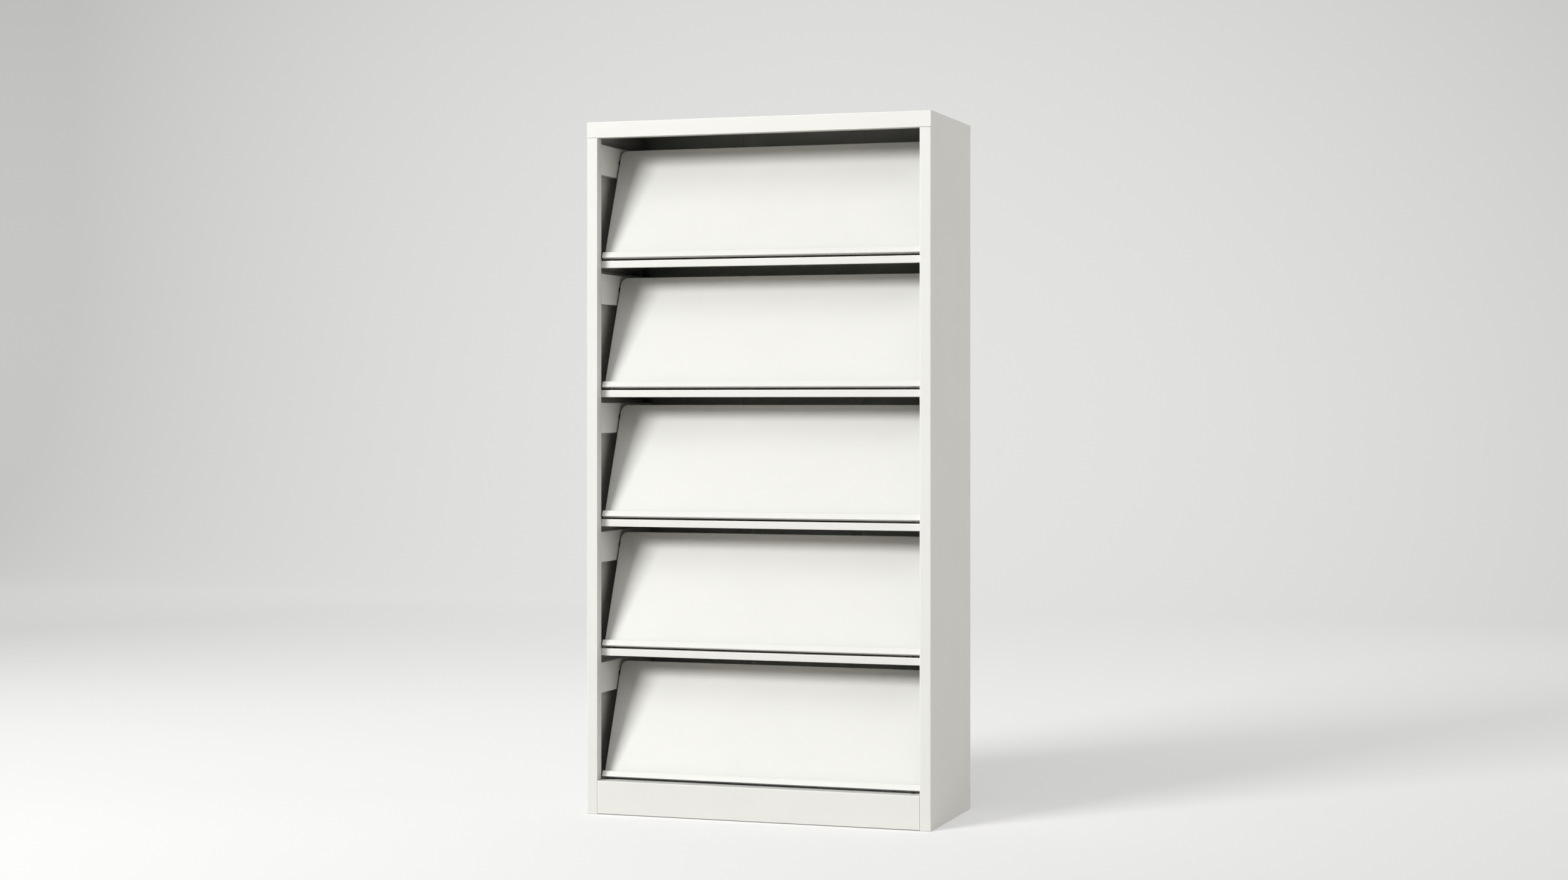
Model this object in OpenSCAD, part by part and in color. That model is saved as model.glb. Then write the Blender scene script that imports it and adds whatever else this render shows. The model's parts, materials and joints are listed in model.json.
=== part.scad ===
// Magazine display cabinet in folded, powder-coated sheet steel.
// Five bays stand one above the other. Each bay has a leaning display flap with a tray at
// its foot. The flap turns up about two studs near its top edge, and the studs ride back
// in slotted rails, so that the flap is stored above the magazines in the bay.
// Origin: centre of the footprint, on the floor. The front faces -Y, and +Z is up.
// Inside the modules a depth is measured from the front face of the posts, towards +Y.

/* [Cabinet] */
// Overall width over the two side panels
cab_w = 900; // [760:10:1200]
// Overall depth, from the front of the posts to the heads of the rear screws
cab_d = 390; // [370:5:450]
// Clear height of a bay, from one deck to the underside of the next
bay_h = 309.2; // [296:0.1:330]
// Height of the front band of the top cap
cap_band_h = 40.6; // [30:0.1:60]
// Height of the lowest deck and of the kick plate above the floor
base_h = 84.9; // [80:0.1:120]
// The lowest bay is this much higher than the others
low_bay_extra = 4.5; // [0:0.5:20]
// Gap between the floor and the lower edge of the body
foot_gap = 1; // [1:0.5:4]

/* [Sheet metal] */
// Thickness of the body and flap sheets
sheet = 1; // [0.8:0.1:1.2]
// Thickness of the rail, clip and base rail sheets
rail_sheet = 1.2; // [1:0.1:1.6]
// Outer radius of the folds
bend_r = 2; // [1.7:0.1:3]
// Open seam between two sheets that meet
seam = 0.2; // [0.1:0.05:0.4]

/* [Posts and panels] */
// Width of the front post, folded from the side panel
post_w = 28; // [25:0.5:36]
// Depth of the return behind the front post
post_return = 28; // [22:0.5:32]
// Width of the hem at the back edge of the return
post_hem = 12; // [6:0.5:16]
// Width of the rear flange of a side panel
rear_flange = 18; // [16:0.5:26]
// Depth of the return under the cap's front band
cap_return = 28; // [15:0.5:32]
// Height of the hem behind that return
cap_hem = 12; // [6:0.5:20]
// Height of the rear flange of the top cap
cap_rear_h = 20; // [12:0.5:30]
// Depth of the stiffening beads in the back panel
bead_depth = 4; // [2:0.5:6]
// Width of a bead across its open side
bead_w = 34; // [24:1:50]
// Distance of each bead from the middle of the back panel
bead_x = 150; // [80:5:200]
// Distance of each wall fixing hole from the middle of the back panel
wall_hole_x = 350; // [250:5:360]
// Distance of the wall fixing holes below the top of the cabinet
wall_hole_drop = 60; // [40:5:100]
// Diameter of the wall fixing holes
wall_hole_d = 9; // [6:0.5:12]

/* [Decks] */
// Height of a shelf's front face
shelf_face_h = 18.5; // [16:0.1:26]
// Gap between the post return and the front of the decks
shelf_set_back = 1; // [0.5:0.5:3]
// Depth of the fold under a shelf's front face
shelf_fold = 14; // [8:0.5:20]
// Height of the hem behind that fold
shelf_hem = 8; // [5:0.5:12]
// Gap between a deck and the clips at its sides
deck_side_gap = 0.5; // [0.4:0.1:2]
// Gap between a deck and the beads of the back panel
deck_rear_gap = 1; // [0.5:0.5:4]
// Length of a shelf clip along the side panel
clip_l = 40; // [20:1:60]
// Width of the foot of a shelf clip
clip_w = 13; // [9:0.5:18]
// Distance of the clips from the front and rear ends of a deck
clip_inset = 38; // [30:1:60]

/* [Flaps] */
// Lean of a closed flap from the vertical
flap_tilt = 23; // [19:0.5:26]
// Depth of the front face of the flap sheet at the foot of the flap
flap_foot_d = 35.5; // [35:0.5:45]
// Height of the tray's underside at that point above the deck
flap_foot_z = 3.8; // [3:0.1:8]
// Gap between the top edge of the flap and the deck above
flap_top_gap = 18.5; // [14:0.5:30]
// Gap between the flap and the posts and rails on each side
flap_side_gap = 3; // [2.8:0.1:4]
// Depth of the tray, from the flap sheet's front face to the lip's front face
tray_d = 12; // [10:0.5:24]
// Height of the lip in front of the tray
lip_h = 15; // [12:0.5:30]
// Height of the safe edge folded down inside the lip
lip_hem = 9; // [6:0.5:10]
// Depth of the flap's side and top returns
flap_return = 16; // [14:0.5:20]
// Outer radius of the rolled edge round the flap
flap_edge_r = 3; // [2:0.5:5]
// Radius of the flap's two top corners
flap_corner_r = 18; // [15:1:26]

/* [Lift and slide fittings] */
// Height of a rail
rail_h = 77.7; // [60:0.1:90]
// Gap between a rail and the deck above it
rail_top_gap = 13.5; // [12:0.5:20]
// Width of the flanges that fix a rail to the side panel
rail_lip = 8; // [6:0.5:10]
// Height of the slot in a rail
slot_h = 12; // [10:0.5:14]
// Travel of the slide shoes in the slot
slide_travel = 180; // [140:5:190]
// Distance of the pivot behind the flap's front face
pivot_inset = 9; // [8:0.5:9.5]
// Diameter of the pivot studs
stud_d = 8; // [6:0.5:8]
// Radial running clearance of the studs in the flap
stud_clear = 0.08; // [0.04:0.01:0.1]
// Length of a shoe behind its stud
shoe_tail = 25; // [18:1:30]
// Height of the shoe's flanges
shoe_h = 18; // [17:0.5:19]
// Clearance of the shoe in its slot and beside the rail's web
shoe_clear = 0.3; // [0.2:0.05:0.4]
// Diameter of the rubber bumpers under a flap
bumper_d = 7.6; // [6:0.2:8]
// Gap between a closed flap and its bumpers
bumper_gap = 0.3; // [0.2:0.05:0.5]

/* [Base] */
// Height of a base rail
base_rail_h = 60; // [50:1:64]
// Width of the flanges of a base rail
base_rail_w = 32; // [30:1:40]
// Diameter of the pad of a levelling foot
pad_d = 28; // [20:1:29]
// Height of that pad
pad_h = 12; // [8:0.5:14]
// Distance of the feet from the front and rear ends of the base rails
foot_inset = 30; // [20:1:60]
// Diameter of the thread of a levelling foot
foot_thread_d = 8; // [6:1:10]

/* [Hidden] */

// Number of bays, counted from the top
tiers = 5;
// Segments of a fold's arc, and facets of round parts
bend_seg = 4;
$fn = 32;
// A cut runs this far past the face it goes through
past = 1;

// Colours of the painted steel, the mouldings, the plated steel and the rubber
paint = [0.92, 0.92, 0.89];
nylon = [0.13, 0.13, 0.13];
plated = [0.70, 0.71, 0.72];
rubber = [0.12, 0.12, 0.12];

// Pan-head screws, and the play of their holes
head_d = 8;
head_h = 2.2;
head_edge = 1.6;
shank_d = 4;
shank_l = 6;
point_l = 1;
point_taper = 0.8;
hole_play = 0.2;
// The top rear screws lie this far below the cap's band
top_screw_drop = 20;
// Width of the flanges at the ends of the kick plate
kick_end_w = 20;

// The back panel stands this far inside the side panels and above their lower edge
back_side_gap = 0.5;
back_lift = 10;
// Run of a bead's flank for each millimetre of its depth
bead_run = 1.5;

// Heights and depths that the sizes above give
pitch = bay_h + shelf_face_h;
bays_h = tiers * bay_h + low_bay_extra + (tiers - 1) * shelf_face_h;
cab_h = base_h + bays_h + cap_band_h;
body_d = cab_d - head_h;
wall_x = cab_w / 2 - sheet;
post_x = cab_w / 2 - post_w;
band_z = cab_h - cap_band_h;
back_d = body_d - sheet - seam;
deck_front_d = post_return + shelf_set_back;
deck_rear_d = back_d - sheet - bead_depth - deck_rear_gap;
deck_x = wall_x - rail_sheet - deck_side_gap;
clip_r = rail_sheet + seam;

// The flap's own frame has its front face at y = 0 and the tray's underside at z = 0.
// Its front sheet overlaps the rolled edges by edge_lap, and they start side_start above
// the fold of the tray.
edge_lap = 3;
side_start = 2;
flap_w = 2 * (post_x - flap_side_gap);
flap_l = (bay_h - flap_top_gap - flap_foot_z) / cos(flap_tilt);
edge_band = flap_edge_r + edge_lap;
hem_r = 1.2 * sheet;
ear_t = 2;
ear_r = 8;

// The pivot lies on the rail's centre line, and inside the flap's returns
pivot_z = bay_h - rail_top_gap - rail_h / 2;
pivot_s = (pivot_z - flap_foot_z + pivot_inset * sin(flap_tilt)) / cos(flap_tilt);
pivot_d = flap_foot_d + pivot_s * sin(flap_tilt) + pivot_inset * cos(flap_tilt);

// Shoe, stud and washer, measured outwards from the flap's side
flap_x = flap_w / 2;
shoe_face_t = 1.6;
shoe_back_t = 6;
shoe_step = 1;
shoe_wall = 1.5;
shoe_rim = 2.5;
shoe_x = post_x - shoe_clear - shoe_face_t;
shoe_back_x = post_x + rail_sheet + shoe_clear;
stud_r = stud_d / 2;
washer_play = 0.05;
groove_depth = 1;
groove_r = stud_r - groove_depth;
groove_play = 0.05;
stud_clip_t = 0.9;
stud_clip_rim = 2.5;
stud_clip_x = flap_x - sheet - ear_t - stud_clip_t - seam;
stud_nose = 1.6;
stud_nose_taper = 0.6;
stud_end_x = stud_clip_x - stud_nose;
stud_head_t = 3;
stud_head_rim = 2.5;
stud_head_edge = 1;

// The rails run from the post's return to the rear ends of the decks
rail_front_d = post_return + seam;
rail_rear_d = deck_rear_d;
stop_gap = 0.3;
stop_d = pivot_d + slide_travel + shoe_tail + stop_gap;

// The feet stand in the lower flanges of the base rails
base_rail_top = base_h - sheet;
base_rail_z = base_rail_top - base_rail_h;
base_rail_front_d = deck_front_d + bend_r + seam;
base_rail_rear_d = deck_rear_d - bend_r - seam;
foot_x = wall_x - base_rail_w / 2;
foot_ds = [base_rail_front_d + foot_inset, base_rail_rear_d - foot_inset];
nut_h = 6.5;
nut_d = foot_thread_d * 1.8;
pad_edge = 1;
foot_stud_stand = 10;
driver_slot_w = 1.2;
driver_slot_h = 1.5;

// Bumpers: distance from the side of the flap, and the chamfer at the top
bumper_inset = 24;
bumper_edge = 0.8;

// Height of the deck of a bay, with bay 1 at the top
function deck_z(i) = base_h + (i < tiers ? low_bay_extra : 0) + (tiers - i) * pitch;

// Unit direction from a to b, and the direction to its left
function dir(a, b) = (b - a) / norm(b - a);
function left_of(u) = [-u[1], u[0]];

// Points of one face of a fold at v, where the sheet turns from direction u to direction w
function fold_arc(v, u, w, t, r, face) =
    let (
        turn = sign(u[0] * w[1] - u[1] * w[0]),
        a = left_of(u),
        b = left_of(w),
        k = turn > 0 ? -r : r - t,
        c = v - k * (a + b) / (1 + a * b),
        start = atan2(a[1], a[0]),
        swing = turn * acos(a * b)
    )
    [for (j = [0 : bend_seg])
        let (q = start + swing * j / bend_seg)
        c + (k + face * t) * [cos(q), sin(q)]
    ];

// Outline of a folded sheet. p is the line of one face, and the sheet lies on its left.
// r is the outer radius of every fold, or a list with one radius for each fold.
function fold(p, t, r) =
    let (
        n = len(p),
        u = [for (i = [0 : n - 2]) dir(p[i], p[i + 1])],
        rad = [for (i = [1 : n - 2]) is_list(r) ? r[i - 1] : r],
        near = [for (i = [1 : n - 2]) fold_arc(p[i], u[i - 1], u[i], t, rad[i - 1], 0)],
        far = [for (i = [1 : n - 2]) fold_arc(p[i], u[i - 1], u[i], t, rad[i - 1], 1)]
    )
    concat(
        [p[0]],
        [for (a = near) each a],
        [p[n - 1], p[n - 1] + t * left_of(u[n - 2])],
        [for (i = [len(far) - 1 : -1 : 0]) each [for (j = [bend_seg : -1 : 0]) far[i][j]]],
        [p[0] + t * left_of(u[0])]
    );

// Moves depths into the cabinet's frame
module from_front() {
    translate([0, -cab_d / 2, 0]) children();
}

// Extrudes a (depth, height) outline across the width w
module across(w) {
    rotate([90, 0, 90]) translate([0, 0, -w / 2]) linear_extrude(height = w) children();
}

// Extrudes an (x, height) outline from depth d0 to depth d1
module backwards(d0, d1) {
    translate([0, d1, 0]) rotate([90, 0, 0]) linear_extrude(height = d1 - d0) children();
}

// A round bar along X, from x0 to x1
module bar_x(r, x0, x1) {
    translate([x0, 0, 0]) rotate([0, 90, 0]) cylinder(r = r, h = x1 - x0);
}

// Draws the right-hand piece and its mirror image
module both_sides() {
    children();
    mirror([1, 0, 0]) children();
}

// A pan-head screw at the origin. Its head stands on +Y, and its shank runs towards -Y.
module pan_screw() {
    rotate([-90, 0, 0]) rotate_extrude() polygon([
        [0, -shank_l], [shank_d / 2 - point_taper, -shank_l], [shank_d / 2, point_l - shank_l],
        [shank_d / 2, 0], [head_d / 2, 0], [head_d / 2, head_h * 0.45],
        [(head_d - head_edge) / 2, head_h * 0.85], [head_d / 2 - head_edge, head_h], [0, head_h]
    ]);
}

// Heights of the rear screws: one at the middle of each bay, one in the base and one above
rear_screw_z = concat(
    [base_h / 2],
    [for (i = [tiers : -1 : 1]) deck_z(i) + bay_h / 2],
    [band_z - top_screw_drop]
);
rear_screw_x = cab_w / 2 - rear_flange / 2;

// Heights of the screws at the ends of the kick plate
kick_screw_z = [base_h * 0.3, base_h * 0.7];
kick_x = post_x - seam;

// Side panel: the front post, its return, the outer wall and the rear flange in one sheet
module side_panel() {
    difference() {
        translate([0, 0, foot_gap])
            linear_extrude(height = cab_h - sheet - seam - foot_gap)
                polygon(fold([
                    [post_x + post_hem, post_return], [post_x, post_return], [post_x, 0],
                    [cab_w / 2, 0], [cab_w / 2, body_d], [cab_w / 2 - rear_flange, body_d]
                ], sheet, bend_r));
        // The cap's band lies above the post, and its rear flange above the rear flange
        translate([post_x - past, -past, band_z - seam])
            cube([wall_x - post_x + past, post_return + 2 * past, cap_band_h]);
        translate([post_x - past, -past, band_z - seam])
            cube([post_w + 2 * past, sheet + seam + past, cap_band_h]);
        translate([cab_w / 2 - rear_flange - past, body_d - sheet - seam, cab_h - cap_rear_h - seam])
            cube([rear_flange + 2 * past, sheet + seam + past, cap_rear_h]);
        // Notches for the cap's front and rear folds
        for (d = [-past, body_d - bend_r])
            translate([wall_x - past, d, cab_h - bend_r - seam])
                cube([sheet + 2 * past, bend_r + past, bend_r]);
        for (z = rear_screw_z)
            translate([rear_screw_x, body_d - bend_r, z])
                rotate([-90, 0, 0]) cylinder(d = shank_d + hole_play, h = 2 * bend_r);
        for (z = kick_screw_z)
            translate([0, post_return / 2, z])
                bar_x((shank_d + hole_play) / 2, post_x - past, post_x + 2 * past);
    }
}

// Top cap: front band, top sheet and rear flange, with a return under the band
module top_cap() {
    color(paint) from_front() {
        across(cab_w) polygon(fold([
            [body_d, cab_h - cap_rear_h], [body_d, cab_h], [0, cab_h], [0, band_z + bend_r]
        ], sheet, bend_r));
        across(2 * (wall_x - seam)) polygon(fold([
            [0, band_z + cap_hem], [0, band_z], [cap_return, band_z],
            [cap_return, band_z + cap_hem]
        ], sheet, bend_r));
    }
}

// Outline of the back panel from above, with its two vertical beads
back_half = wall_x - back_side_gap;
bead_slope = bead_depth * bead_run;
function bead(x) = [
    [x - bead_w / 2, back_d], [x - bead_w / 2 + bead_slope, back_d - bead_depth],
    [x + bead_w / 2 - bead_slope, back_d - bead_depth], [x + bead_w / 2, back_d]
];
back_bottom = foot_gap + back_lift;
back_top = cab_h - bend_r - seam;

module back_panel() {
    color(paint) from_front() difference() {
        translate([0, 0, back_bottom])
            linear_extrude(height = back_top - back_bottom)
                mirror([0, 1, 0]) polygon(fold([for (p = concat(
                    [[-back_half, back_d]], bead(-bead_x), bead(bead_x), [[back_half, back_d]]
                )) [p[0], -p[1]]], sheet, bend_r));
        both_sides() {
            for (z = rear_screw_z)
                translate([rear_screw_x, back_d - 2 * sheet, z])
                    rotate([-90, 0, 0]) cylinder(d = shank_d + hole_play, h = 3 * sheet);
            translate([wall_hole_x, back_d - 2 * sheet, cab_h - wall_hole_drop])
                rotate([-90, 0, 0]) cylinder(d = wall_hole_d, h = 3 * sheet);
        }
    }
}

// Kick plate: folded front panel between the posts, with a flange at each end
module kick_plate() {
    color(paint) from_front() {
        across(2 * kick_x) polygon(fold([
            [post_return, base_h - post_hem], [post_return, base_h], [0, base_h],
            [0, foot_gap], [post_return / 2, foot_gap]
        ], sheet, bend_r));
        both_sides() difference() {
            translate([kick_x - sheet, sheet / 2, foot_gap + sheet / 2])
                cube([sheet, kick_end_w, base_h - foot_gap - sheet]);
            for (z = kick_screw_z)
                translate([0, post_return / 2, z])
                    bar_x((shank_d + hole_play) / 2, kick_x - 2 * sheet, kick_x + sheet);
        }
    }
}

// Lowest deck, which rests on the base rails
module bottom_deck() {
    color(paint) from_front() across(2 * deck_x) polygon(fold([
        [deck_rear_d, base_h - shelf_face_h], [deck_rear_d, base_h], [deck_front_d, base_h],
        [deck_front_d, base_h - shelf_face_h]
    ], sheet, bend_r));
}

// Shelf of bay i: folded front face with a hem, rear flange and two side flanges
module shelf(i) {
    z = deck_z(i);
    side_l = deck_rear_d - deck_front_d - shelf_fold - 4 * bend_r;
    color(paint) from_front() {
        across(2 * (deck_x - bend_r)) polygon(fold([
            [deck_rear_d, z - shelf_face_h], [deck_rear_d, z], [deck_front_d, z],
            [deck_front_d, z - shelf_face_h], [deck_front_d + shelf_fold, z - shelf_face_h],
            [deck_front_d + shelf_fold, z - shelf_face_h + shelf_hem]
        ], sheet, bend_r));
        both_sides()
            backwards(deck_rear_d - 2 * bend_r - side_l, deck_rear_d - 2 * bend_r)
                polygon(fold([
                    [deck_x, z - shelf_face_h], [deck_x, z], [deck_x - 2 * bend_r, z]
                ], sheet, bend_r));
    }
}

// Clips on the side panels that carry the side flanges of the shelves
module shelf_clips() {
    clip_h = shelf_face_h - bend_r;
    color(plated) from_front() both_sides()
        for (i = [1 : tiers - 1])
            for (d = [deck_front_d + clip_inset, deck_rear_d - clip_inset - clip_l])
                translate([0, 0, deck_z(i) - shelf_face_h])
                    backwards(d, d + clip_l)
                        polygon(fold([
                            [wall_x - clip_w, -rail_sheet], [wall_x, -rail_sheet],
                            [wall_x, clip_h]
                        ], rail_sheet, clip_r));
}

// Base rail: a channel on the side panel that carries the lowest deck and two feet
module base_rail() {
    difference() {
        backwards(base_rail_front_d, base_rail_rear_d) polygon(fold([
            [wall_x - base_rail_w, base_rail_z], [wall_x, base_rail_z],
            [wall_x, base_rail_top], [wall_x - base_rail_w, base_rail_top]
        ], rail_sheet, bend_r));
        for (d = foot_ds)
            translate([foot_x, d, base_rail_z - past])
                cylinder(d = foot_thread_d + hole_play, h = rail_sheet + 2 * past);
    }
}

// Places a foot's piece at each corner
module at_feet() {
    from_front() both_sides()
        for (d = foot_ds)
            translate([foot_x, d, 0]) children();
}

// Moulded pads of the levelling feet
module foot_pads() {
    color(rubber) at_feet() rotate_extrude() polygon([
        [0, 0], [pad_d / 2 - pad_edge, 0], [pad_d / 2, pad_edge], [pad_d / 2, pad_h * 0.4],
        [foot_thread_d, pad_h], [0, pad_h]
    ]);
}

// Threaded studs of the feet, each with a screwdriver slot at its upper end
module foot_studs() {
    top = base_rail_z + rail_sheet + nut_h + foot_stud_stand;
    color(plated) at_feet() difference() {
        translate([0, 0, pad_h]) cylinder(d = foot_thread_d, h = top - pad_h);
        translate([-foot_thread_d, -driver_slot_w / 2, top - driver_slot_h])
            cube([2 * foot_thread_d, driver_slot_w, driver_slot_h + past]);
    }
}

// Hexagon nuts that lock the studs to the base rails
module foot_nuts() {
    color(plated) at_feet() translate([0, 0, base_rail_z + rail_sheet]) difference() {
        cylinder(d = nut_d, h = nut_h, $fn = 6);
        translate([0, 0, -past]) cylinder(d = foot_thread_d + hole_play, h = nut_h + 2 * past);
    }
}

// Rail of bay i: a hat section with its slot open at the rear end
module rail(i) {
    z = deck_z(i);
    top = z + bay_h - rail_top_gap;
    foot = top - rail_h;
    lip_x = wall_x - rail_sheet;
    difference() {
        backwards(rail_front_d, rail_rear_d) polygon(fold([
            [lip_x, top + rail_lip], [lip_x, top], [post_x, top], [post_x, foot],
            [lip_x, foot], [lip_x, foot - rail_lip]
        ], rail_sheet, bend_r));
        translate([0, pivot_d, z + pivot_z]) {
            bar_x(slot_h / 2, post_x - past, post_x + rail_sheet + past);
            translate([post_x - past, 0, -slot_h / 2])
                cube([rail_sheet + 2 * past, rail_rear_d - pivot_d + past, slot_h]);
        }
    }
}

// A plate with a round front end about the pivot and a square tail, from x0 to x1
module shoe_plate(half_h, tail, x0, x1) {
    bar_x(half_h, x0, x1);
    translate([x0, 0, -half_h]) cube([x1 - x0, tail, 2 * half_h]);
}

// Slide shoes of bay i: a face beside the flap, a rib in the slot and a guide in the rail
module slide_shoes(i) {
    rib_h = slot_h / 2 - shoe_clear;
    guide_tail = shoe_tail - shoe_step;
    color(nylon) from_front() both_sides()
        translate([0, pivot_d, deck_z(i) + pivot_z]) difference() {
            union() {
                shoe_plate(shoe_h / 2, shoe_tail, shoe_x, shoe_x + shoe_face_t);
                shoe_plate(rib_h, shoe_tail, shoe_x, shoe_back_x + past);
                shoe_plate(shoe_h / 2, guide_tail, shoe_back_x, shoe_back_x + shoe_back_t);
            }
            bar_x(stud_r + washer_play, shoe_x - past, shoe_back_x + shoe_back_t + past);
            // The tail is cored from behind so that the moulding keeps an even wall
            translate([shoe_back_x + shoe_wall, ear_r + shoe_rim / 2, shoe_rim - shoe_h / 2])
                cube([shoe_back_t, guide_tail - ear_r - 1.5 * shoe_rim, shoe_h - 2 * shoe_rim]);
        }
}

// Pivot studs of bay i: a head behind the shoe and a groove for the clip
module pivot_studs(i) {
    head_x = shoe_back_x + shoe_back_t;
    head_end_x = head_x + stud_head_t;
    head_r = stud_r + stud_head_rim;
    groove_x0 = stud_clip_x - groove_play;
    groove_x1 = stud_clip_x + stud_clip_t + groove_play;
    color(plated) from_front() both_sides()
        translate([0, pivot_d, deck_z(i) + pivot_z]) rotate([0, 90, 0]) rotate_extrude() polygon([
            [0, stud_end_x], [stud_r - stud_nose_taper, stud_end_x],
            [stud_r, stud_end_x + stud_nose_taper], [stud_r, groove_x0], [groove_r, groove_x0],
            [groove_r, groove_x1], [stud_r, groove_x1], [stud_r, head_x],
            [head_r, head_x], [head_r, head_end_x - stud_head_edge],
            [head_r - stud_head_edge, head_end_x], [0, head_end_x]
        ]);
}

// Washers of bay i, between the flap's side and the shoe's face
module pivot_washers(i) {
    color(nylon) from_front() both_sides()
        translate([0, pivot_d, deck_z(i) + pivot_z]) difference() {
            bar_x(ear_r, flap_x + washer_play, shoe_x - washer_play);
            bar_x(stud_r + washer_play, flap_x, shoe_x);
        }
}

// Spring clips of bay i, sprung into the grooves of the studs inside the flap
module stud_clips(i) {
    mouth = 2 * groove_r * 0.8;
    color(plated) from_front() both_sides()
        translate([0, pivot_d, deck_z(i) + pivot_z]) difference() {
            bar_x(stud_r + stud_clip_rim, stud_clip_x, stud_clip_x + stud_clip_t);
            bar_x(groove_r + washer_play, stud_clip_x - past, stud_clip_x + stud_clip_t + past);
            translate([stud_clip_x - past, -mouth / 2, -stud_d])
                cube([stud_clip_t + 2 * past, mouth, stud_d]);
        }
}

// Stops pushed into the open rear ends of the slots
module rail_end_stops() {
    rib_h = slot_h / 2 - shoe_clear;
    color(nylon) from_front() both_sides() for (i = [1 : tiers])
        translate([0, 0, deck_z(i) + pivot_z]) {
            translate([post_x - shoe_face_t, stop_d, -shoe_h / 2])
                cube([shoe_face_t - shoe_clear / 3, rail_rear_d - stop_d, shoe_h]);
            translate([post_x - shoe_face_t, stop_d, -rib_h])
                cube([shoe_back_x - post_x + shoe_face_t + past, rail_rear_d - stop_d, 2 * rib_h]);
            translate([shoe_back_x - shoe_clear * 2 / 3, stop_d, -shoe_h / 2])
                cube([shoe_back_t, rail_rear_d - stop_d, shoe_h]);
        }
}

// Quarter of the flap's rim: the rolled edge and its return, as a (reach, depth) outline
function rim(reach) = fold([
    [reach - edge_band, 0], [reach, 0], [reach, flap_return]
], sheet, flap_edge_r);

// Flap of bay i: one drawn and folded sheet with a tray, a lip and ears for the studs
module flap(i) {
    side_z = flap_edge_r + side_start;
    plate_r = flap_corner_r - flap_edge_r;
    plate_x = flap_x - flap_edge_r;
    plate_z = flap_l - flap_edge_r;
    lip_y = -tray_d;
    hem_y = -tray_d + 2 * hem_r;
    color(paint) from_front()
        translate([0, flap_foot_d, deck_z(i) + flap_foot_z]) rotate([-flap_tilt, 0, 0])
            difference() {
                union() {
                    // Tray and lip, with the lip's edge folded back on itself
                    across(flap_w) polygon(fold([
                        [hem_y, lip_h - lip_hem], [hem_y, lip_h], [lip_y, lip_h], [lip_y, 0],
                        [sheet, 0], [sheet, side_z + bend_r]
                    ], sheet, [hem_r, hem_r, bend_r, bend_r]));
                    // Front sheet with its two round corners
                    rotate([90, 0, 0]) translate([0, 0, -sheet]) linear_extrude(height = sheet) {
                        translate([-plate_x, side_z])
                            square([2 * plate_x, plate_z - plate_r - side_z]);
                        translate([-plate_x + plate_r, plate_z - plate_r - past])
                            square([2 * (plate_x - plate_r), plate_r + past]);
                        for (s = [-1, 1])
                            translate([s * (plate_x - plate_r), plate_z - plate_r]) circle(r = plate_r);
                    }
                    // Rolled edges up both sides, round the corners and along the top
                    both_sides() {
                        translate([0, 0, side_z])
                            linear_extrude(height = flap_l - flap_corner_r - side_z)
                                polygon(rim(flap_x));
                        translate([flap_x - flap_corner_r, 0, flap_l - flap_corner_r])
                            rotate([90, 0, 0]) rotate_extrude(angle = 90) mirror([0, 1, 0])
                                polygon(rim(flap_corner_r));
                        // Ear that doubles the return at the pivot
                        translate([0, pivot_inset, pivot_s])
                            bar_x(min(ear_r, flap_return - pivot_inset),
                                flap_x - sheet - ear_t, flap_x - sheet / 2);
                    }
                    translate([0, 0, flap_l]) across(flap_w - 2 * flap_corner_r)
                        mirror([0, 1, 0]) polygon([for (p = rim(flap_l)) [p[1], flap_l - p[0]]]);
                }
                both_sides() translate([0, pivot_inset, pivot_s])
                    bar_x(stud_r + stud_clear, flap_x - sheet - ear_t - past, flap_x + past);
            }
}

// Rubber bumpers on the decks, under the foot of each closed flap
module flap_bumpers() {
    // The lowest point of the fold at the foot of the flap, from the deck
    low_z = flap_foot_z + bend_r * (cos(flap_tilt) + sin(flap_tilt) - 1) - sheet * sin(flap_tilt);
    low_d = flap_foot_d + bend_r * sin(flap_tilt) + (sheet - bend_r) * cos(flap_tilt);
    h = low_z - bumper_gap;
    color(rubber) from_front() both_sides() for (i = [1 : tiers])
        translate([flap_x - bumper_inset, low_d, deck_z(i)]) rotate_extrude() polygon([
            [0, 0], [bumper_d / 2, 0], [bumper_d / 2, h * 0.6],
            [bumper_d / 2 - bumper_edge, h], [0, h]
        ]);
}

module back_panel_screws() {
    color(plated) from_front() both_sides() for (z = rear_screw_z)
        translate([rear_screw_x, body_d, z]) pan_screw();
}

module kick_plate_screws() {
    color(plated) from_front() both_sides() for (z = kick_screw_z)
        translate([kick_x - sheet, post_return / 2, z]) rotate([0, 0, 90]) pan_screw();
}

color(paint) from_front() mirror([1, 0, 0]) side_panel();  // left_side_panel
color(paint) from_front() side_panel();  // right_side_panel
top_cap();
back_panel();
kick_plate();
bottom_deck();
shelf(1);  // shelf_1
shelf(2);  // shelf_2
shelf(3);  // shelf_3
shelf(4);  // shelf_4
shelf_clips();
color(plated) from_front() mirror([1, 0, 0]) base_rail();  // base_rail_left
color(plated) from_front() base_rail();  // base_rail_right
foot_pads();
foot_studs();
foot_nuts();
for (i = [1 : tiers]) {
    color(paint) from_front() mirror([1, 0, 0]) rail(i);
    color(paint) from_front() rail(i);
    flap(i);
    slide_shoes(i);
    pivot_studs(i);
    pivot_washers(i);
    stud_clips(i);
}
rail_end_stops();
flap_bumpers();
back_panel_screws();
kick_plate_screws();
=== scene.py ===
import json
from math import cos, hypot, pi, radians, sin

import bmesh
import bpy
from mathutils import Matrix, Vector


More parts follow.
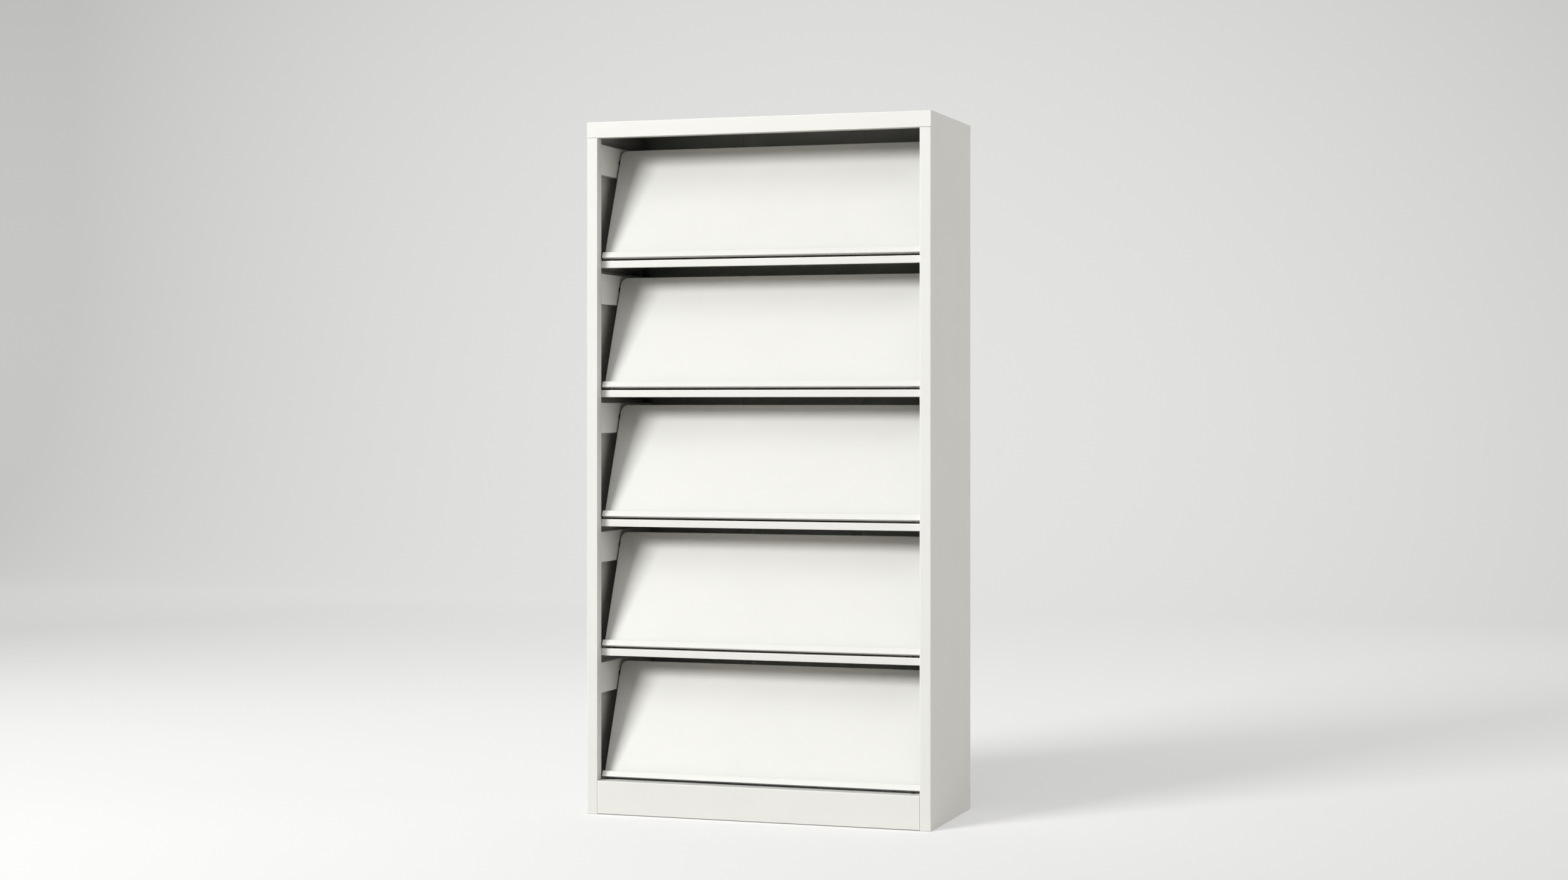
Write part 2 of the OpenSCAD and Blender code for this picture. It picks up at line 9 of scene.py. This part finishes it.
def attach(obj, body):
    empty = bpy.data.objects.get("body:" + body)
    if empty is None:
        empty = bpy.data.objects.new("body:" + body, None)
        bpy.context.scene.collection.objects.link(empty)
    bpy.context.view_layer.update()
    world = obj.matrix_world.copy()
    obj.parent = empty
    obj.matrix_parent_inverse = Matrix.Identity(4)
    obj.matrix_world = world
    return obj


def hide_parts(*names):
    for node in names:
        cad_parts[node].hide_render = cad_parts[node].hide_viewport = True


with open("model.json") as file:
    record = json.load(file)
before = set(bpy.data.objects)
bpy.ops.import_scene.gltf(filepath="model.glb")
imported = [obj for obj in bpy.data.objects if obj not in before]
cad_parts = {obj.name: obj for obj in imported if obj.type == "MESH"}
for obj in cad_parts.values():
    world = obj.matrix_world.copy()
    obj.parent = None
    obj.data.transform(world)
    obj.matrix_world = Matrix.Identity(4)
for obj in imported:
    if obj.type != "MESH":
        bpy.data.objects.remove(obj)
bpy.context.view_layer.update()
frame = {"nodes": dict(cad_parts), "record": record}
nodes = frame["nodes"]
scene = bpy.context.scene

# Colours in linear light
PAINT = (0.80, 0.805, 0.775)
PAINT_SHADE = (0.785, 0.79, 0.76)
# Folds and edges: the colour of rubbed paint, made lighter as a painted highlight
PAINT_WORN_HIGHLIGHT = (0.96, 0.96, 0.93)
NYLON = (0.035, 0.035, 0.034)
ZINC = (0.56, 0.57, 0.58)
RUBBER = (0.03, 0.03, 0.03)

# Noise scales per metre, and the depths of bumps in metres
CLOUD_SCALE, WEAR_SCALE, GLOSS_SCALE = 5.0, 9.0, 40.0
PEEL_SCALE, PEEL_DEPTH = 420.0, 0.00006
SPECK_SCALE, SPECK_DEPTH = 1500.0, 0.00001
SPANGLE_SCALE, ZINC_GLOSS_SCALE = 260.0, 300.0
ZINC_SCALE, ZINC_DEPTH = 900.0, 0.00002
MOULD_CLOUD_SCALE, MOULD_GLOSS_SCALE = 60.0, 200.0
NYLON_SCALE, NYLON_DEPTH = 1100.0, 0.00003
RUBBER_SCALE, RUBBER_DEPTH = 800.0, 0.00006

# Roughness from and to, and what it loses where the paint is rubbed
PAINT_ROUGH, RUBBED_ROUGH = (0.40, 0.52), -0.12
ZINC_ROUGH, NYLON_ROUGH, RUBBER_ROUGH = (0.28, 0.42), (0.42, 0.55), (0.70, 0.85)

# How far from a fold the paint is rubbed and given a painted highlight, and how far off a wall a
# recess gets painted shade, in metres
FOLD_REACH = 0.003
RECESS_REACH = 0.3
# How much a normal goes along an axis where a mask begins and where it is whole
ON_FLAT, LOOKS_UP, LOOKS_DOWN = (0.88, 0.99), (0.5, 0.9), (0.1, 0.5)
# The openness over which painted shade darkens a recess, and a face that looks down
RECESS_OPEN, UNDER_OPEN = (0.1, 0.4), (0.05, 0.9)

# Directions of the flat faces of the body, and of a flap, which leans by this angle
UP, DOWN = (0, 0, 1), (0, 0, -1)
LEAN = radians(23)
BODY_AXES = ((1, 0, 0), (0, 1, 0), UP)
FLAP_AXES = ((1, 0, 0), (0, cos(LEAN), -sin(LEAN)), (0, sin(LEAN), cos(LEAN)))

# Edges that turn less than this are shaded smooth, and corners this close in metres are one
SMOOTH_ANGLE = radians(32)
WELD = 1e-6

# The shape of the screws in metres. SHANK holds (radius, height over the seat) from the tip to the
# rim of the head, and RINGS the radii on its dome.
HEAD_R, HEAD_H, RIM_H = 0.004, 0.0022, 0.00099
SHANK = ((0.0012, -0.006), (0.002, -0.005), (0.002, 0.0), (HEAD_R, 0.0), (HEAD_R, RIM_H))
RINGS = (0.0039, 0.0036, 0.0032, 0.0028, 0.0024, 0.0021, 0.0019, 0.0016, 0.0013, 0.001, 0.0007,
         0.0004)
AROUND = 48
# The cross recess: half the width of an arm, its length and depth, how wide the slopes of its sides
# and of its end are, and the share of the depth that is lost at the end
ARM_W, ARM_L, ARM_DEPTH = 0.0005, 0.002, 0.0011
SIDE_SLOPE, END_SLOPE, ARM_RISE = 0.00025, 0.0004, 0.35
# The CAD screws: corners this close belong to one screw, and further out than this is its head
SCREW_SPAN, SHANK_OUT = 0.01, 0.0035
# Each screw stands turned by this much more than the one before it
SCREW_TURN = 0.7

# The backdrop in metres: a floor that curves up into a wall
FLOOR_FRONT, WALL_Y, WALL_TOP, HALF_WIDTH = -12.0, 9.0, 7.0, 16.0
CURVE_R, CURVE_STEPS = 2.0, 24

# The floor for the camera: what takes shadows, and the glow over it, by powers of x and y
FLOOR_MATT = (0.75, 0.75, 0.745, 1)
FLOOR_TINT = (1, 1, 0.99, 1)
FLOOR_GLOW = (0.2792, -0.0545, 0.0113, -0.0103, -0.0005, 0.0137)
# The wall for the camera, by powers of x and z
WALL_TINT = (1, 1, 0.985, 1)
WALL_GLOW = (0.72691, -0.03118, 0.0144, -0.0067, -0.00966, -0.00174)
# Where the photograph shows the floor and the wall. The glow keeps its edge value outside.
FLOOR_X, FLOOR_Y = (-6.0, 3.0), (-3.0, 6.6)
WALL_X, WALL_Z = (-8.0, 2.5), (0.0, 5.0)
GLOW_LIMITS = (0.05, 0.9)
# The floor turns into the wall over these y, and both fade to pale over these x and y
FLOOR_END_Y = (1.8, 6.6)
RIGHT_END_X, LEFT_END_X, FRONT_END_Y = (5.0, 12.0), (-15.0, -9.0), (-11.5, -5.0)
PALE = 0.76

# What lights the cabinet from all round: the floor, the wall, the world, and the world overhead,
# which begins and is whole at these heights of a direction
BOUNCE = (0.535, 0.50, 0.46, 1)
WALL_LIGHT = 0.8
AMBIENT = 0.13
AMBIENT_TINT = (1.0, 0.94, 0.86)
OVERHEAD = (0.45, 0.45, 0.45)
OVERHEAD_Z = (0.6, 0.9)

# Soft boxes aimed at the middle of the cabinet: name, azimuth, elevation, distance, width, height
# and power. Azimuth 0 is in front, and minus is to the left.
AIM = Vector((0, 0, 0.9))
LIGHTS = [
    ("key_box", -31, 19.5, 20.0, 6.86, 4.43, 3060),
    ("high_box", -10, 49, 18.0, 11.2, 9.0, 540),
    ("side_box", 92, 5, 7.0, 3.5, 3.5, 124),
    ("fill_box", 55, 18, 7.0, 3.5, 3.5, 30),
]

# The camera, for a picture of 2576 x 1446 pixels
CAMERA_AT = (2.1491, -6.4259, 1.0367)
CAMERA_YAW = radians(18.408)
LENS = 61.08
SHIFT_Y = -0.0229


# Nodes

def add(tree, kind, inputs=None, **settings):
    """A node with its settings. inputs gives sockets by name or number a link or a constant."""
    n = tree.nodes.new(kind)
    for key, value in settings.items():
        setattr(n, key, value)
    for key, value in (inputs or {}).items():
        if isinstance(value, bpy.types.NodeSocket):
            tree.links.new(value, n.inputs[key])
        else:
            n.inputs[key].default_value = value
    return n


def maths(tree, operation, *values):
    n = add(tree, "ShaderNodeMath", dict(enumerate(values)), operation=operation)
    return n.outputs[0]


def along(tree, normal, axis):
    """How much a normal goes along an axis."""
    n = add(tree, "ShaderNodeVectorMath", {0: normal, 1: axis}, operation="DOT_PRODUCT")
    return n.outputs["Value"]


def noise(tree, coords, scale, detail=2.0, rough=0.5):
    n = add(tree, "ShaderNodeTexNoise",
            {"Vector": coords, "Scale": scale, "Detail": detail, "Roughness": rough})
    return n.outputs["Fac"]


def ramp(tree, fac, low, high, start=0.35, end=0.65):
    """The colour low where fac is under start, and high where it is over end."""
    n = add(tree, "ShaderNodeValToRGB", {"Fac": fac})
    for stop, position, colour in zip(n.color_ramp.elements, (start, end), (low, high)):
        stop.position = position
        stop.color = (*colour, 1)
    return n.outputs["Color"]


def spread(tree, fac, low, high, start=0.3, end=0.7):
    """fac between start and end, brought to values between low and high."""
    n = add(tree, "ShaderNodeMapRange",
            {"Value": fac, "From Min": start, "From Max": end, "To Min": low, "To Max": high})
    return n.outputs["Result"]


def mix_values(tree, fac, a, b):
    """a where fac is 0 and b where it is 1. Inputs 2 and 3 of a Mix node are its numbers."""
    n = add(tree, "ShaderNodeMix", {"Factor": fac, 2: a, 3: b}, data_type="FLOAT")
    return n.outputs[0]


def mix_colours(tree, fac, a, b):
    """a where fac is 0 and b where it is 1. Inputs 6 and 7 of a Mix node are its colours."""
    n = add(tree, "ShaderNodeMix", {"Factor": fac, 6: a, 7: b}, data_type="RGBA")
    return n.outputs[2]


def mix_shaders(tree, fac, a, b):
    return add(tree, "ShaderNodeMixShader", {0: fac, 1: a, 2: b}).outputs[0]


def clamped(tree, value, limits):
    low, high = limits
    return add(tree, "ShaderNodeClamp", {"Value": value, "Min": low, "Max": high}).outputs[0]


def emission(tree, strength, colour=(1, 1, 1, 1)):
    return add(tree, "ShaderNodeEmission", {"Color": colour, "Strength": strength}).outputs[0]


# Materials

def new_material(name):
    """A node material with its tree, its shader, and its object coordinates in metres."""
    m = bpy.data.materials.new(name)
    m.use_nodes = True
    tree = m.node_tree
    return m, tree, tree.nodes["Principled BSDF"], add(tree, "ShaderNodeTexCoord").outputs["Object"]


def bump(tree, shader, *layers):
    """Bumps laid over each other. Each layer is (height socket, depth in metres)."""
    below = {}
    for height, depth in layers:
        n = add(tree, "ShaderNodeBump",
                {"Strength": 1.0, "Distance": depth, "Height": height, **below})
        below = {"Normal": n.outputs["Normal"]}
    tree.links.new(below["Normal"], shader.inputs["Normal"])


def fold_mask(tree, axes):
    """0 on the flat faces, which face along the axes, and 1 close to a fold or an edge."""
    near = add(tree, "ShaderNodeBevel", {"Radius": FOLD_REACH}, samples=4).outputs[0]
    normal = add(tree, "ShaderNodeVectorTransform", {0: near}, vector_type="NORMAL",
                 convert_from="WORLD", convert_to="OBJECT").outputs[0]
    x, y, z = (maths(tree, "ABSOLUTE", along(tree, normal, axis)) for axis in axes)
    flat = maths(tree, "MAXIMUM", z, maths(tree, "MAXIMUM", y, x))
    return spread(tree, flat, 1, 0, *ON_FLAT)


def facing(tree, way, limits):
    """1 where a face looks towards way, and 0 where it looks elsewhere."""
    normal = add(tree, "ShaderNodeTexCoord").outputs["Normal"]
    return spread(tree, along(tree, normal, way), 0, 1, *limits)


def powder_coat(name, axes, recess, under):
    """Satin powder coat with orange peel, a faint cloudiness, and folds rubbed smoother and painted
    lighter, partly worn paint and partly a painted highlight. Painted shade darkens it deep inside,
    where the colour is times recess, or times under on a face that looks down. A face that looks up
    keeps the whole colour."""
    m, tree, shader, xyz = new_material(name)
    # Along folds and edges the paint is partly worn, which makes it smoother, and partly a painted
    # highlight, which makes it lighter
    patches = spread(tree, noise(tree, xyz, WEAR_SCALE), 0.5, 1.0)
    worn_and_highlit = maths(tree, "MULTIPLY", fold_mask(tree, axes), patches)
    cloud = noise(tree, xyz, CLOUD_SCALE, detail=4.0, rough=0.6)
    clouded = ramp(tree, cloud, PAINT_SHADE, PAINT)
    colour = mix_colours(tree, worn_and_highlit, clouded, (*PAINT_WORN_HIGHLIGHT, 1))

    # Painted shade: the colour is darkened where the ambient occlusion finds walls close by
    shade = add(tree, "ShaderNodeAmbientOcclusion", {"Distance": RECESS_REACH}, samples=12)
    open_air = shade.outputs["AO"]
    inside_shade = mix_values(tree, facing(tree, DOWN, LOOKS_DOWN),
                      spread(tree, open_air, recess, 1, *RECESS_OPEN),
                      spread(tree, open_air, under, 1, *UNDER_OPEN))
    painted_shade = mix_values(tree, facing(tree, UP, LOOKS_UP), inside_shade, 1)
    shaded_colour = add(tree, "ShaderNodeVectorMath", {0: colour, "Scale": painted_shade}, operation="SCALE")
    tree.links.new(shaded_colour.outputs[0], shader.inputs["Base Color"])

    gloss = spread(tree, noise(tree, xyz, GLOSS_SCALE, detail=3.0), *PAINT_ROUGH)
    polished = maths(tree, "MULTIPLY_ADD", worn_and_highlit, RUBBED_ROUGH, gloss)
    tree.links.new(polished, shader.inputs["Roughness"])
    shader.inputs["Specular IOR Level"].default_value = 0.4
    bump(tree, shader, (noise(tree, xyz, PEEL_SCALE), PEEL_DEPTH),
         (noise(tree, xyz, SPECK_SCALE, detail=1.0), SPECK_DEPTH))
    return m


def plated(name):
    """Bright zinc plating with its fine spangle and a slightly uneven gloss."""
    m, tree, shader, xyz = new_material(name)
    cells = add(tree, "ShaderNodeTexVoronoi", {"Vector": xyz, "Scale": SPANGLE_SCALE})
    dark = tuple(0.86 * v for v in ZINC)
    colour = ramp(tree, cells.outputs["Distance"], dark, ZINC, start=0.1, end=0.7)
    tree.links.new(colour, shader.inputs["Base Color"])
    gloss = spread(tree, noise(tree, xyz, ZINC_GLOSS_SCALE, detail=3.0), *ZINC_ROUGH)
    tree.links.new(gloss, shader.inputs["Roughness"])
    shader.inputs["Metallic"].default_value = 1.0
    bump(tree, shader, (noise(tree, xyz, ZINC_SCALE), ZINC_DEPTH))
    return m


def moulding(name, colour, scale, depth, roughness):
    """Moulded plastic or rubber with a spark-eroded grain of this scale and depth."""
    m, tree, shader, xyz = new_material(name)
    cloud = noise(tree, xyz, MOULD_CLOUD_SCALE, detail=3.0)
    dark = tuple(0.93 * v for v in colour)
    tree.links.new(ramp(tree, cloud, dark, colour), shader.inputs["Base Color"])
    gloss = spread(tree, noise(tree, xyz, MOULD_GLOSS_SCALE), *roughness)
    tree.links.new(gloss, shader.inputs["Roughness"])
    bump(tree, shader, (noise(tree, xyz, scale, detail=3.0), depth))
    return m


# recess and under are the strengths of the painted shade in recesses and on faces that look down
materials = {
    "body_paint": powder_coat("body_paint_look", BODY_AXES, recess=0.25, under=0.2),
    "flap_paint": powder_coat("flap_paint_look", FLAP_AXES, recess=0.75, under=0.3),
    "rail_paint": powder_coat("rail_paint_look", BODY_AXES, recess=0.75, under=0.5),
    "zinc": plated("zinc_look"),
    "nylon": moulding("nylon_look", NYLON, NYLON_SCALE, NYLON_DEPTH, NYLON_ROUGH),
    "rubber": moulding("rubber_look", RUBBER, RUBBER_SCALE, RUBBER_DEPTH, RUBBER_ROUGH),
}


# The CAD pieces keep their shapes. Their folds and rounds are shaded smooth, and their flats flat.

def smooth_group(name):
    """Geometry nodes that weld the corners and shade every edge under the angle smooth."""
    g = bpy.data.node_groups.new(name, "GeometryNodeTree")
    g.interface.new_socket("Geometry", in_out="INPUT", socket_type="NodeSocketGeometry")
    g.interface.new_socket("Geometry", in_out="OUTPUT", socket_type="NodeSocketGeometry")
    first = add(g, "NodeGroupInput").outputs[0]
    merge = add(g, "GeometryNodeMergeByDistance", {"Geometry": first, "Distance": WELD})
    turn = add(g, "GeometryNodeInputMeshEdgeAngle").outputs["Unsigned Angle"]
    soft = add(g, "FunctionNodeCompare", {"A": turn, "B": SMOOTH_ANGLE}, data_type="FLOAT",
               operation="LESS_THAN").outputs["Result"]
    faces = add(g, "GeometryNodeSetShadeSmooth", {"Geometry": merge.outputs[0]}, domain="FACE")
    edges = add(g, "GeometryNodeSetShadeSmooth",
                {"Geometry": faces.outputs[0], "Shade Smooth": soft}, domain="EDGE")
    add(g, "NodeGroupOutput", {0: edges.outputs[0]})
    return g


smooth = smooth_group("smooth_folds")
slot_of = {p["node"]: p["material_slot"] for p in frame["record"]["subparts"]}
for name, obj in nodes.items():
    for slot in obj.material_slots:
        slot.material = materials[slot_of[name]]
    obj.modifiers.new("smooth_folds", "NODES").node_group = smooth
    flats = obj.modifiers.new("flat_faces", "WEIGHTED_NORMAL")
    flats.mode = "FACE_AREA"
    flats.weight = 100
    flats.keep_sharp = True


def placed(name, bm):
    """An object with the mesh that was built in bm."""
    mesh = bpy.data.meshes.new(name)
    bm.to_mesh(mesh)
    bm.free()
    obj = bpy.data.objects.new(name, mesh)
    scene.collection.objects.link(obj)
    return obj


# Screws with a domed head and a cross recess, on the seats of the plain CAD screws

def screw_seats(obj, axis):
    """Centre of the underside of each head, and its outward direction, read from the CAD solids."""
    side = [i for i in range(3) if i != axis]
    groups = []
    for v in obj.data.vertices:
        for g in groups:
            if all(abs(g[0][i] - v.co[i]) < SCREW_SPAN for i in range(3)):
                g.append(v.co)
                break
        else:
            groups.append([v.co])
    seats = []
    for g in groups:
        mid = [(min(c[i] for c in g) + max(c[i] for c in g)) / 2 for i in range(3)]
        head = [c[axis] for c in g
                if hypot(c[side[0]] - mid[side[0]], c[side[1]] - mid[side[1]]) > SHANK_OUT]
        low, high = min(c[axis] for c in g), max(c[axis] for c in g)
        out = 1 if sum(head) / len(head) > (low + high) / 2 else -1
        at = Vector(mid)
        at[axis] = (high if out > 0 else low) - out * HEAD_H
        way = Vector((0, 0, 0))
        way[axis] = out
        seats.append((at, way))
    return seats


def within(value, limit, slope):
    """1 under the limit and 0 over it, with a slope between."""
    return min(max((limit - value) / slope + 0.5, 0), 1)


def head_height(x, y):
    """Height of the domed head at (x, y), with a cross sunk into it."""
    dome = HEAD_H - (HEAD_H - RIM_H) * (hypot(x, y) / HEAD_R) ** 4
    across, out = sorted((abs(x), abs(y)))
    inside = within(across, ARM_W, SIDE_SLOPE) * within(out, ARM_L, END_SLOPE)
    return dome - ARM_DEPTH * inside * (1 - ARM_RISE * out / ARM_L)


def screw(bm, at, turn):
    """One screw: rings of corners from its tip to its dome, closed at both ends."""
    rings = []
    for r, h in (*SHANK, *((r, None) for r in RINGS)):
        ring = []
        for k in range(AROUND):
            x, y = r * cos(2 * pi * k / AROUND), r * sin(2 * pi * k / AROUND)
            z = head_height(x, y) if h is None else h
            ring.append(bm.verts.new(at + turn @ Vector((x, y, z))))
        rings.append(ring)
    for a, b in zip(rings, rings[1:]):
        for k in range(AROUND):
            bm.faces.new((a[k - 1], a[k], b[k], b[k - 1]))
    bm.faces.new(reversed(rings[0]))
    top = bm.verts.new(at + turn @ Vector((0, 0, head_height(0, 0))))
    for k in range(AROUND):
        bm.faces.new((rings[-1][k - 1], rings[-1][k], top))


def screws(name, node, axis):
    """A piece with a screw on each seat of the node, which it stands for."""
    bm = bmesh.new()
    for n, (at, way) in enumerate(screw_seats(nodes[node], axis)):
        upright = way.to_track_quat("Z", "Y").to_matrix()
        screw(bm, at, upright @ Matrix.Rotation(SCREW_TURN * n, 3, "Z"))
    obj = placed(name, bm)
    obj.data.materials.append(materials["zinc"])
    obj.modifiers.new("smooth_folds", "NODES").node_group = smooth
    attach(obj, "cabinet")
    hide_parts(node)


screws("rear_screws", "back_panel_screws", 1)
screws("base_screws", "kick_plate_screws", 0)


# Floor and backdrop

def strip(name, profile):
    """A sheet that follows a (y, z) profile."""
    bm = bmesh.new()
    rows = [[bm.verts.new((x, y, z)) for x in (-HALF_WIDTH, HALF_WIDTH)] for y, z in profile]
    for a, b in zip(rows, rows[1:]):
        bm.faces.new((a[0], a[1], b[1], b[0]))
    for f in bm.faces:
        f.smooth = True
    return placed(name, bm)


def glow(tree, u, v, k, u_range, v_range):
    """k0 + k1 u + k2 v + k3 u u + k4 v v + k5 u v, with u and v kept in their ranges."""
    u, v = clamped(tree, u, u_range), clamped(tree, v, v_range)

    def times_plus(a, b, c):
        return maths(tree, "MULTIPLY_ADD", a, b, c)

    in_u = times_plus(v, k[5], times_plus(u, k[3], k[1]))
    in_v = times_plus(v, k[4], k[2])
    return clamped(tree, times_plus(v, in_v, times_plus(u, in_u, k[0])), GLOW_LIMITS)


def backdrop_material():
    """For the camera and in reflections, a pale floor that takes shadows and turns into an even
    wall. For all other light, a matt floor and a wall that shines."""
    m = bpy.data.materials.new("backdrop_look")
    m.use_nodes = True
    tree = m.node_tree
    tree.nodes.clear()
    xyz = add(tree, "ShaderNodeTexCoord").outputs["Object"]
    x, y, z = add(tree, "ShaderNodeSeparateXYZ", {0: xyz}).outputs
    path = add(tree, "ShaderNodeLightPath").outputs
    looked_at = maths(tree, "MAXIMUM", path["Is Camera Ray"], path["Is Glossy Ray"])

    matt = add(tree, "ShaderNodeBsdfDiffuse", {"Color": FLOOR_MATT}).outputs[0]
    glowing = emission(tree, glow(tree, x, y, FLOOR_GLOW, FLOOR_X, FLOOR_Y), FLOOR_TINT)
    floor = add(tree, "ShaderNodeAddShader", {0: matt, 1: glowing}).outputs[0]
    wall = emission(tree, glow(tree, x, z, WALL_GLOW, WALL_X, WALL_Z), WALL_TINT)
    back = spread(tree, y, 0, 1, *FLOOR_END_Y)
    near = mix_shaders(tree, back, floor, wall)
    aside = maths(tree, "ADD", spread(tree, x, 0, 1, *RIGHT_END_X),
                  spread(tree, x, 1, 0, *LEFT_END_X))
    away = maths(tree, "MAXIMUM", aside, spread(tree, y, 1, 0, *FRONT_END_Y))
    shown = mix_shaders(tree, away, near, emission(tree, PALE))

    bounce = add(tree, "ShaderNodeBsdfDiffuse", {"Color": BOUNCE}).outputs[0]
    lit = mix_shaders(tree, back, bounce, emission(tree, WALL_LIGHT))
    add(tree, "ShaderNodeOutputMaterial", {"Surface": mix_shaders(tree, looked_at, lit, shown)})
    return m


bends = [pi / 2 * i / CURVE_STEPS for i in range(1, CURVE_STEPS + 1)]
profile = [(FLOOR_FRONT, 0.0), (WALL_Y - CURVE_R, 0.0)]
profile += [(WALL_Y - CURVE_R + CURVE_R * sin(a), CURVE_R - CURVE_R * cos(a)) for a in bends]
profile.append((WALL_Y, WALL_TOP))
backdrop = strip("backdrop", profile)
backdrop.data.materials.append(backdrop_material())


# Lights, world and camera

def area_light(name, azimuth, elevation, distance, width, height, power):
    """A soft box aimed at the middle of the cabinet, which the camera doesn't see."""
    a, e = radians(azimuth), radians(elevation)
    way = Vector((sin(a) * cos(e), -cos(a) * cos(e), sin(e)))
    data = bpy.data.lights.new(name, "AREA")
    data.shape = "RECTANGLE"
    data.size, data.size_y = width, height
    data.energy = power
    obj = bpy.data.objects.new(name, data)
    obj.location = AIM + way * distance
    obj.rotation_euler = way.to_track_quat("Z", "Y").to_euler()
    obj.visible_camera = False
    scene.collection.objects.link(obj)


def studio_world():
    """Dim light from all round, stronger from overhead, and an even pale for the camera."""
    world = bpy.data.worlds.new("studio")
    world.use_nodes = True
    tree = world.node_tree
    tree.nodes.clear()
    path = add(tree, "ShaderNodeLightPath").outputs
    seen = maths(tree, "MAXIMUM", path["Is Camera Ray"], path["Is Transmission Ray"])
    way = add(tree, "ShaderNodeTexCoord").outputs["Generated"]
    height = add(tree, "ShaderNodeSeparateXYZ", {0: way}).outputs[2]
    low = tuple(AMBIENT * v for v in AMBIENT_TINT)
    ambient = add(tree, "ShaderNodeBackground",
                  {"Color": ramp(tree, height, low, OVERHEAD, *OVERHEAD_Z), "Strength": 1.0})
    pale = add(tree, "ShaderNodeBackground", {"Color": (PALE, PALE, PALE, 1), "Strength": 1.0})
    both = mix_shaders(tree, seen, ambient.outputs[0], pale.outputs[0])
    add(tree, "ShaderNodeOutputWorld", {"Surface": both})
    return world


def photo_camera():
    data = bpy.data.cameras.new("camera")
    data.sensor_width = 36
    data.lens = LENS
    data.shift_y = SHIFT_Y
    camera = bpy.data.objects.new("camera", data)
    camera.location = CAMERA_AT
    camera.rotation_euler = (pi / 2, 0, CAMERA_YAW)
    scene.collection.objects.link(camera)
    return camera


for light in LIGHTS:
    area_light(*light)
scene.world = studio_world()
scene.camera = photo_camera()
scene.view_settings.view_transform = "Standard"
